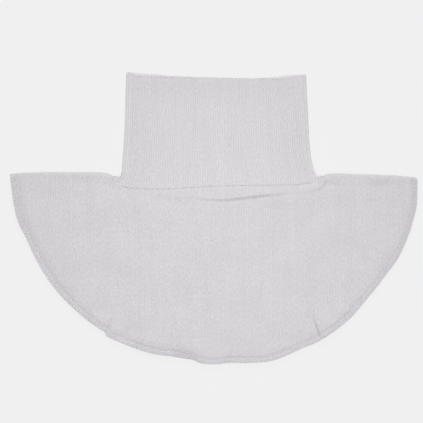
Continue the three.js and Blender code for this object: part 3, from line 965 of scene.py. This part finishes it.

# %% [markdown]
# ## Rows of the collar
# The tube's rows run up the outside, round the rim in half a turn, and down the inside to the seam
# again. Towards its rim and its sides the collar's knit is darkened as painted shade. The rim's own edge,
# the side folds, the first rib beside the left fold and, a little, the middle are made paler as painted
# light.

# %% Greyness of the collar
NEAR_SEAM = [0, 0.5, 1.2, 2.2, 3.6, 5.2, 6.8, 8.5, 10.5, 13, 16.5, 21]
COLLAR_MIDDLE = 8
outside = len(NEAR_SEAM) + COLLAR_MIDDLE
# Painted shade towards the rim and sides, painted light at the rim's edge, side folds, middle and first rib
RIM_GREY = 0.42
RIM_GREY_REACH = (5, 62)
RIM_PALE = 1.6
RIM_PALE_ROWS = 3
RIM_PALE_REACH = (5, 9)
SIDE_GREY = 0.36
SIDE_GREY_FROM = (0.65, 0.93)  # off the middle, as a share of half the collar's width
SIDE_GREY_TO = (0.95, 1.0)
FOLD_PALE = 0.6
CORNER_PALE = 2.4  # painted light on the side folds near the cape, to make up for its shade
CORNER_RISE = (44, 58)
MIDDLE_PALE = 0.2
MIDDLE_WIDTH = 0.09
MIDDLE_REACH = (25, 47)
FIRST_RIB_PALE = 0.9
FIRST_RIB_REACH = (0.008, 0.022)


def painted_collar_shading(column, row, y):
    """Painted shade on the collar's knit there, or painted light where that is below zero."""
    layer, share, _ = collar_column(column)
    below_rim = collar_rim(column) - y
    to_rim = RIM_GREY * (1 - smoothstep(*RIM_GREY_REACH, below_rim))
    by_rim = RIM_PALE * smoothstep(0, RIM_PALE_ROWS, row - outside)
    by_rim *= 1 - smoothstep(*RIM_PALE_REACH, below_rim)
    if layer == "fold":
        return to_rim - max(by_rim, mix(CORNER_PALE, FOLD_PALE, smoothstep(*CORNER_RISE, y)))
    off_middle = abs(2 * share - 1)
    to_side = SIDE_GREY * smoothstep(*SIDE_GREY_FROM, off_middle)
    to_side *= 1 - smoothstep(*SIDE_GREY_TO, off_middle)
    in_middle = MIDDLE_PALE * bell(off_middle, MIDDLE_WIDTH) * smoothstep(*MIDDLE_REACH, below_rim)
    first_rib = 0.0
    if layer == "front":
        first_rib = FIRST_RIB_PALE * (1 - smoothstep(*FIRST_RIB_REACH, share))
        first_rib *= smoothstep(*CORNER_RISE, y)
    return max(to_side, to_rim) - max(by_rim, in_middle, first_rib)


print("greyness in the middle of the collar's front:", round(painted_collar_shading(160, outside - 4, 100), 2))

# %% [markdown]
# ## Knitting the tube
# A place on the tube is its column and its row. The row says how high it lies, how deep under the outer
# face it is, and how far along the unfolded tube, which goes into the UV map. Near the seam the cloth
# shifts a little, so that it meets the cape's edge at every depth.

# %% Knit the collar
LAYER_WALL = 1.45
RIM_TURNS = [0, 0.17, 0.33, 0.5, 0.67, 0.83, 1]
INSIDE_ROWS = 6
COLLAR_RIB_DEPTH = 0.8
FOLD_RIB = 0.6  # share of that depth which is left round the pressed side folds
COLLAR_SEAM_REACH = 0.7
SHIFT_REACH = 12
rim_radius = COLLAR_WALL / 2


def tube_place(column, row, inside):
    """Height of a vertex, its depth under the outer face and its length along the unfolded tube."""
    rib_depth = COLLAR_RIB_DEPTH * (FOLD_RIB if collar_column(column)[0] == "fold" else 1.0)
    face = LAYER_WALL - rib(column / 4 + 0.5, rib_depth) if inside else rib(column / 4, rib_depth)
    top = collar_rim(column) - rim_radius
    seam = collar_seam(column, 0) + SEAM_GAP
    if row < outside:
        share = (row - len(NEAR_SEAM) + 1) / (COLLAR_MIDDLE + 1)
        y = seam + NEAR_SEAM[row] if share < 0 else mix(seam + NEAR_SEAM[-1], top, share)
        dip = seam_dip(seam_x(column)) * (1 - smoothstep(0, COLLAR_SEAM_REACH, y - seam))
        return y, face * (1 - dip / RIB_IN_DIP) + (dip / INNER_DIP if inside else dip), y - seam
    if row < outside + len(RIM_TURNS):
        turn = math.pi * RIM_TURNS[row - outside]
        y = top + (rim_radius - face) * math.sin(turn)
        return y, rim_radius - (rim_radius - face) * math.cos(turn), top - seam + rim_radius * turn
    y = mix(top, seam, (row - outside - len(RIM_TURNS) + 1) / INSIDE_ROWS)
    return y, COLLAR_WALL - face, 2 * top - seam - y + rim_radius * math.pi


bm, marks = tube(COLLAR_COLUMNS, outside + len(RIM_TURNS) + INSIDE_ROWS)
places, flats, painted_shading = [], [], []
for column, row, inside in marks:
    y, depth, length = tube_place(column, row, inside)
    seam = collar_seam(column, 0)
    near_seam = 1 - smoothstep(0, SHIFT_REACH, y - (seam + SEAM_GAP))
    places.append(lay_collar(column, y + (collar_seam(column, depth) - seam) * near_seam, depth))
    flats.append((column / 4 * COLLAR_RIB, length))
    painted_shading.append(painted_collar_shading(column, row, y))
lay_out(bm, places, flats, columns=COLLAR_COLUMNS / 4 * COLLAR_RIB, painted_shading=painted_shading)
collar = make_piece(bm, "collar_knit")

# %% [markdown]
# ## Neck seam
# Collar and cape are joined by a seam that shows outside only as a narrow dark groove. The sewing
# thread lies down in it, a stitch to every rib, and dips at every second point.

# %% Seam thread
SEAM_STITCHES = 172
SEAM_THREAD_RADIUS = 0.5
SEAM_THREAD_DEPTH = 1.8  # for each millimetre of the groove's depth
SEAM_THREAD_DIP = 0.15
seam_points = []
for k in range(SEAM_STITCHES * 2):
    column = k * COLLAR_COLUMNS / SEAM_STITCHES / 2
    depth = SEAM_THREAD_DEPTH * seam_dip(seam_x(column)) + SEAM_THREAD_DIP * (k % 2)
    seam_points.append(lay_collar(column, collar_seam(column, depth), depth))
seam_thread = thread("neck_seam_thread", seam_points, SEAM_THREAD_RADIUS)

# %% [markdown]
# ## Seam allowance
# The trimmed edges of both pieces turn down inside, under the cape, as the seam allowance. It is hidden
# inside the garment, so a plain strip with half as many columns as the collar is enough.

# %% Strip inside the neck
ALLOWANCE_TOP = 2.2
ALLOWANCE_WALL = 1.6
ALLOWANCE_ROWS = [-0.1, 0.8, 2, 3.4, 4.8, 6, 6.5]
ALLOWANCE_EDGE = 0.35  # how far each face draws in at the strip's two edges
FLARE = 0.7  # how far it leans out at the sides, for each millimetre down
bm, marks = tube(COLLAR_COLUMNS // 2, len(ALLOWANCE_ROWS))
places, flats = [], []
for column, row, inside in marks:
    layer, share, side = collar_column(column * 2)
    down = ALLOWANCE_ROWS[row]
    x = seam_x(column * 2)
    if layer == "fold":
        x += side * ((FOLD_ACROSS + down * FLARE) * math.sin(share))
        d = (NECK_RADIUS + down * FLARE) * (QUARTER - share)
    else:
        d = slit_edge(x, layer) + down
        d = d if layer == "front" else -d
    end = ALLOWANCE_EDGE if row in (0, len(ALLOWANCE_ROWS) - 1) else 0
    depth = ALLOWANCE_TOP + (ALLOWANCE_WALL - end if inside else end)
    places.append(lay_cape(x, d, depth))
    flats.append((column * COLLAR_RIB / 2, down))
lay_out(bm, places, flats, columns=COLLAR_COLUMNS / 4 * COLLAR_RIB)
allowance = make_piece(bm, "seam_allowance")

# %% [markdown]
# ## Colours and nodes
# Colours are picked as sRGB hex, as an eye sees them on a screen, and one function turns them linear
# for the renderer. One more adds a node with its settings and links. The painted shade and light that the
# vertex attribute holds go over the colour of every cloth and thread.


# %% Material helpers
def linear(hex_colour):
    values = [int(hex_colour[i : i + 2], 16) / 255 for i in (1, 3, 5)]
    return (*(v / 12.92 if v <= 0.04045 else ((v + 0.055) / 1.055) ** 2.4 for v in values), 1.0)


def add_node(tree, kind, inputs=None, **settings):
    """Adds a shader node. An input is a value or another node's output."""
    made = tree.nodes.new("ShaderNode" + kind)
    for name, value in settings.items():
        setattr(made, name, value)
    for key, value in (inputs or {}).items():
        if isinstance(value, bpy.types.NodeSocket):
            tree.links.new(value, made.inputs[key])
        else:
            made.inputs[key].default_value = value
    return made


def new_material(name):
    material = bpy.data.materials.new(name)
    material.use_nodes = True
    material.node_tree.nodes.clear()
    return material, material.node_tree


def tint(tree, colour, painted_shading):
    """The colour darkened by the attribute's painted shade, or made paler below zero, as painted light."""
    shading_attribute = add_node(tree, "Attribute", attribute_name="painted_light_and_shade")
    return add_node(
        tree, "Mix", {0: shading_attribute.outputs["Fac"], 6: colour.outputs[2], 7: linear(painted_shading)},
        data_type="RGBA", blend_type="MULTIPLY", clamp_factor=False,
    )


print("a pale grey, linear:", [round(c, 3) for c in linear("#f0f0f0")])

# %% [markdown]
# ## Brushed acrylic rib knit
# The yarn is white acrylic, a little brushed, so it is matt and has a faint sheen of loose fibres. Each
# rib is a column of V-shaped stitches. Their height follows the UV map, which holds the flat cut, so
# they run along the ribs wherever the cloth goes.

# %% Stitches and fibres
STITCH_SLANT = 1.6
FIBRE_SIZE = 1.1  # millimetres, a few fibres together, because one fibre is far too fine to show
FIBRE_HEIGHT = 1.6  # where the stitches have 2


def knit_height(tree, cut, place, rib_pitch, course):
    """The stitches' own height, with the fuzz of loose fibres over it."""
    ribs = add_node(tree, "Math", {0: cut.outputs[0], 1: 1 / (rib_pitch * MM)}, operation="MULTIPLY")
    off = add_node(tree, "Math", {0: ribs.outputs[0], 1: 1.0}, operation="PINGPONG")
    rows = add_node(tree, "Math", {0: cut.outputs[1], 1: 1 / (course * MM)}, operation="MULTIPLY")
    lean = add_node(
        tree, "Math", {0: off.outputs[0], 1: STITCH_SLANT, 2: rows.outputs[0]}, operation="MULTIPLY_ADD"
    )
    turn = add_node(tree, "Math", {0: lean.outputs[0], 1: math.tau}, operation="MULTIPLY")
    legs = add_node(tree, "Math", {0: turn.outputs[0]}, operation="SINE")
    fibre = add_node(
        tree, "TexNoise",
        {"Vector": place.outputs["Object"], "Scale": 1 / (FIBRE_SIZE * MM), "Detail": 3.0,
         "Roughness": 0.6},
    )
    return add_node(
        tree, "Math", {0: fibre.outputs[0], 1: FIBRE_HEIGHT, 2: legs.outputs[0]}, operation="MULTIPLY_ADD"
    )


# %% [markdown]
# ## Light and dark in the knit
# Between two ribs the brushed fibres let little light in, finer than the mesh can show, so the valleys
# are painted a shade darker than the ridges, as painted shade. Uneven yarn adds a mottle, and wales that
# the machine knitted a little tighter or looser add long faint streaks. The four parts are weighed into one
# share between a dark and a light colour, and the attribute's painted shade and light go over it.

# %% Knit material
WALE_SIZE = (7.0, 90.0)  # millimetres of the streaks
LUMP_SIZE = (24.0, 20.0)  # millimetres of the thicker and thinner places


def stretched_noise(tree, flat, size, detail, start=0.0):
    """Noise of one size across the ribs and another along them."""
    scale = [1 / (each * MM) for each in (*size, 1e3)]
    place = {"Vector": flat.outputs[0], "Location": (start, 0, 0), "Scale": scale}
    stretch = add_node(tree, "Mapping", place)
    return add_node(
        tree, "TexNoise", {"Vector": stretch.outputs[0], "Scale": 1.0, "Detail": detail, "Roughness": 0.65}
    )


def knit_material(name, light, dark, painted_shading, rib_pitch, course, yarn_size, weights, wales_start):
    material, tree = new_material(name)
    flat = add_node(tree, "UVMap", uv_map="flat_cut")
    cut = add_node(tree, "SeparateXYZ", {0: flat.outputs[0]})
    place = add_node(tree, "TexCoord")
    height = knit_height(tree, cut, place, rib_pitch, course)
    bump = add_node(tree, "Bump", {"Strength": 0.5, "Distance": 0.00022, "Height": height.outputs[0]})

    per_metre = math.pi / (rib_pitch * MM)
    across = add_node(tree, "Math", {0: cut.outputs[0], 1: per_metre}, operation="MULTIPLY")
    wave = add_node(tree, "Math", {0: across.outputs[0]}, operation="COSINE")
    ridge = add_node(tree, "Math", {0: wave.outputs[0]}, operation="ABSOLUTE")
    yarn = stretched_noise(tree, flat, yarn_size, 4.0)
    wales = stretched_noise(tree, flat, WALE_SIZE, 2.0, wales_start)
    thickness = stretched_noise(tree, flat, LUMP_SIZE, 2.0)
    share = (1 - sum(weights)) / 2
    for part, weight in zip((ridge, yarn, wales, thickness), weights):
        made = add_node(tree, "Math", {0: part.outputs[0], 1: weight, 2: share}, operation="MULTIPLY_ADD")
        share = made.outputs[0]
    knit = add_node(tree, "Mix", {0: share, 6: linear(dark), 7: linear(light)}, data_type="RGBA")
    colour = tint(tree, knit, painted_shading)
    shader = add_node(
        tree, "BsdfPrincipled",
        {"Base Color": colour.outputs[2], "Roughness": 0.92, "Specular IOR Level": 0.25,
         "Sheen Weight": 0.8, "Sheen Roughness": 0.4, "Normal": bump.outputs[0]},
    )
    add_node(tree, "OutputMaterial", {0: shader.outputs[0]})
    return material


# The last colour of each knit is the painted shade that the vertex attribute lays over it.
collar_knit = knit_material(
    "brushed acrylic rib knit, collar", light="#f0edf1", dark="#d5d3d6", painted_shading="#f6f6f6",
    rib_pitch=COLLAR_RIB, course=1.9, yarn_size=(1.7, 3.6), weights=(0.3, 1.3, 0.4, 0.06),
    wales_start=-3.1,
)
cape_knit = knit_material(
    "brushed acrylic rib knit, cape", light="#ebe8ec", dark="#d4d1d5", painted_shading="#f7f7f7",
    rib_pitch=CAPE_RIB, course=2.0, yarn_size=(1.7, 3.2), weights=(0.18, 1.95, 0.35, 0.25),
    wales_start=0.0,
)


# %% [markdown]
# ## Overlock thread
# The edge is sewn with fluffy textured polyester. Its yarn is whiter than the knit, but shade and cloth
# show between its strands, so the edge as a whole looks a little greyer.

# %% Thread material
STRANDS = 1400.0  # to a metre, so each is about 0.7 mm, because a real strand is too fine to show


def thread_material(name, light, dark):
    material, tree = new_material(name)
    place = add_node(tree, "TexCoord")
    strands = add_node(
        tree, "TexNoise", {"Vector": place.outputs["Object"], "Scale": STRANDS, "Detail": 2.0}
    )
    colour = add_node(
        tree, "Mix", {0: strands.outputs[0], 6: linear(dark), 7: linear(light)}, data_type="RGBA"
    )
    # painted shade from the vertex attribute, where the band is darkest
    colour = tint(tree, colour, "#f7f7f7")
    bump = add_node(tree, "Bump", {"Strength": 0.4, "Distance": 0.0001, "Height": strands.outputs[0]})
    shader = add_node(
        tree, "BsdfPrincipled",
        {"Base Color": colour.outputs[2], "Roughness": 0.85, "Specular IOR Level": 0.3,
         "Normal": bump.outputs[0]},
    )
    add_node(tree, "OutputMaterial", {0: shader.outputs[0]})
    return material


overlock_thread = thread_material("textured polyester overlock thread", "#f4f2f5", "#e4e2e6")

for piece, material in [
    (collar, collar_knit), (cape, cape_knit), (band, cape_knit), (allowance, cape_knit),
    (seam_thread, overlock_thread), *((t, overlock_thread) for t in threads),
]:
    piece.data.materials.append(material)
print(len(bpy.data.materials), "materials in the scene")

# %% [markdown]
# ## Floor
# The garment lies on a glowing opal surface, which drowns nearly all of its shadow, as in catalogue
# pictures. A small share of bare acrylic keeps a faint shadow, so the cloth doesn't seem to float.

# %% Light table
TABLE_SIZE = 3.0  # metres from its middle to its edge
TABLE_DROP = 0.0004  # metres under the part, so that their faces don't fight
TABLE_COLOUR = linear("#f0f0f0")
TABLE_GLOW = 1.01
TABLE_SHADOW = 0.08  # share of the floor's light that a shadow can take

bm = bmesh.new()
bmesh.ops.create_grid(bm, x_segments=1, y_segments=1, size=TABLE_SIZE)
bmesh.ops.translate(bm, verts=bm.verts, vec=(0, 0, -TABLE_DROP))
floor_mesh = bpy.data.meshes.new("floor")
bm.to_mesh(floor_mesh)
bm.free()
floor = add_object("floor", floor_mesh)
opal, tree = new_material("opal acrylic light table")
lit = add_node(tree, "Emission", {"Color": TABLE_COLOUR, "Strength": TABLE_GLOW})
bare = add_node(tree, "BsdfPrincipled", {"Base Color": TABLE_COLOUR, "Roughness": 1.0})
both = add_node(tree, "MixShader", {0: TABLE_SHADOW, 1: lit.outputs[0], 2: bare.outputs[0]})
add_node(tree, "OutputMaterial", {0: both.outputs[0]})
floor_mesh.materials.append(opal)
print("light table:", round(2 * TABLE_SIZE), "metres wide")

# %% [markdown]
# ## Light
# Even light from the whole room comes first. A soft box half a metre above the cape adds a little
# modelling, and a far one beyond the collar, 35 degrees up, brings out the folds that run across.

# %% Room light and two soft boxes
ROOM_LIGHT = 0.53
NEAR_BOX_PLACE = (0.01, -0.03, 0.5)
NEAR_BOX_SIZE = 0.35
NEAR_BOX_POWER = 0.8
FAR_BOX_STRENGTH = 0.86
FAR_BOX_SPREAD = 25  # degrees that it fills in the sky
FAR_BOX_TILT = -55  # degrees from straight above

world = bpy.data.worlds.new("studio")
bpy.context.scene.world = world
world.use_nodes = True
world.node_tree.nodes["Background"].inputs[0].default_value = (1, 1, 1, 1)
world.node_tree.nodes["Background"].inputs[1].default_value = ROOM_LIGHT

near_light = bpy.data.lights.new("soft_box", "AREA")
near_light.size = NEAR_BOX_SIZE
near_light.energy = NEAR_BOX_POWER
add_object("soft_box", near_light).location = NEAR_BOX_PLACE
far_light = bpy.data.lights.new("far_soft_box", "SUN")
far_light.energy = FAR_BOX_STRENGTH
far_light.angle = math.radians(FAR_BOX_SPREAD)
add_object("far_soft_box", far_light).rotation_euler = (math.radians(FAR_BOX_TILT), 0, 0)
print("lights:", len(bpy.data.lights), "and the room")

# %% [markdown]
# ## Camera
# The camera looks straight down. A long lens from far off keeps the sides parallel, as in the
# photograph, and its length follows from the width of the picture at the cloth's height.

# %% Camera above the table
FIELD = 465.3  # millimetres across the picture
FIELD_MIDDLE = (-2.5, 7.1)
CAMERA_HEIGHT = 2600.0
FOCUS_HEIGHT = 7.0

view = bpy.data.cameras.new("camera")
view.sensor_width = 36.0
view.lens = view.sensor_width * (CAMERA_HEIGHT - FOCUS_HEIGHT) / FIELD
camera = add_object("camera", view)
camera.location = (FIELD_MIDDLE[0] * MM, FIELD_MIDDLE[1] * MM, CAMERA_HEIGHT * MM)
bpy.context.scene.camera = camera
bpy.context.scene.view_settings.view_transform = "Standard"
print("lens:", round(view.lens, 1), "mm")

# %% [markdown]
# ## Join the pieces to the part
# Nothing on a neck warmer moves on a joint, so every piece rides on the one body. The solids that the
# cloth and threads stand for are hidden.

# %% Bodies and hidden solids
for piece in (collar, cape, band, allowance, seam_thread, *threads):
    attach(piece, "root")
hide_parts("collar")
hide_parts("cape")
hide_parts("hem_edging")
print("soft sheets:", cape.name, "and", collar.name)
